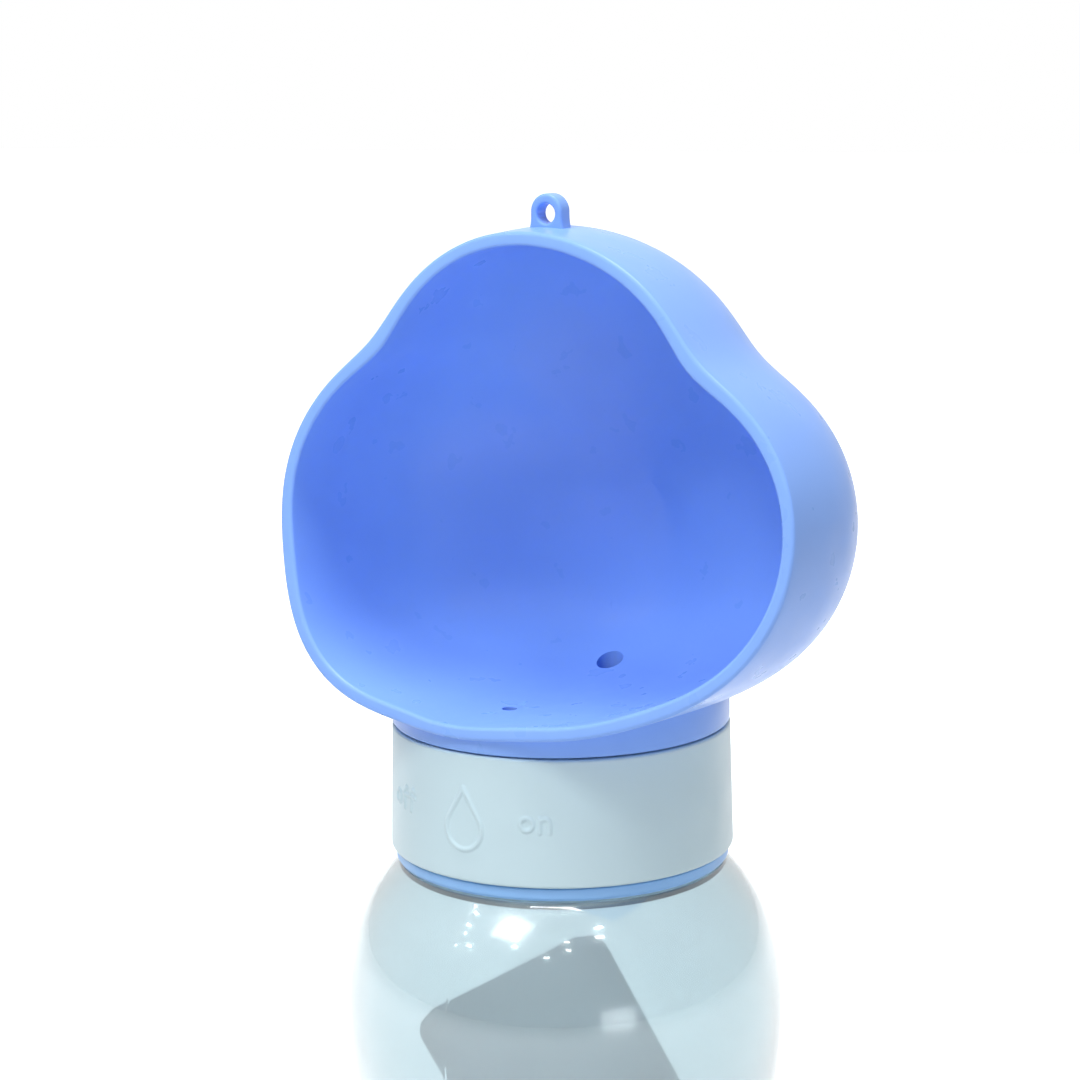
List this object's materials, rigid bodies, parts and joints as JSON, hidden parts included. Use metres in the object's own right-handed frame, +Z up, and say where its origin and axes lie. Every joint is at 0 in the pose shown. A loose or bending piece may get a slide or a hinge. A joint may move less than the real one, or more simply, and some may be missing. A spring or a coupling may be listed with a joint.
{
  "type": "dog travel water bottle",
  "caption": "Clear bulb bottle with a screw-on twist collar and a cloud-shaped drinking bowl that turns between off and on, with a lanyard eye on top.",
  "frame": {"origin": "centre of the base, on the surface that the bottle stands on", "axes": "+Z up along the bottle's axis, the bowl opens towards -Y, +X to the right of someone who looks into the bowl"},
  "size_m": [0.0972, 0.077, 0.1903],
  "materials": {
    "clear_shell": "clear, glossy",
    "paper": "matt coated slip",
    "ring_blue": "soft satin silicone",
    "collar_white": "satin moulded plastic",
    "deck_white": "moulded plastic",
    "seal_white": "soft silicone",
    "seal_dark": "rubber",
    "steel": "turned stainless steel",
    "bowl_blue": "satin gloss moulded plastic"
  },
  "bodies": {
    "bottle": {"bottle_body": "clear_shell", "paper_slip": "paper"},
    "ring_carrier": {"seal_ring": "ring_blue"},
    "collar": {"collar_shell": "collar_white", "cap_deck": "deck_white", "neck_gasket": "seal_white", "valve_gasket": "seal_white"},
    "bowl": {"drinking_bowl": "bowl_blue", "lanyard_eye": "bowl_blue", "valve_rotor": "bowl_blue", "port_seals": "seal_white", "hub_o_ring": "seal_dark", "hub_washer": "steel", "hub_screw": "steel"}
  },
  "joints": [
    {"name": "cap_lift", "type": "slide", "parent": "bottle", "child": "ring_carrier", "axis": [0, 0, 1], "range_m": [0, 0.00601]},
    {"name": "cap_unscrew", "type": "hinge", "parent": "ring_carrier", "child": "collar", "pos_m": [0, 0, 0.09], "axis": [0, 0, 1], "range_deg": [0, 540]},
    {"name": "bowl_turn", "type": "hinge", "parent": "collar", "child": "bowl", "pos_m": [0, 0, 0.101], "axis": [0, 0, 1], "range_deg": [-33, 22]}
  ],
  "couplings": [
    {"joint": "cap_lift", "follows": "cap_unscrew", "m_per_rad": 0.00063662}
  ]
}
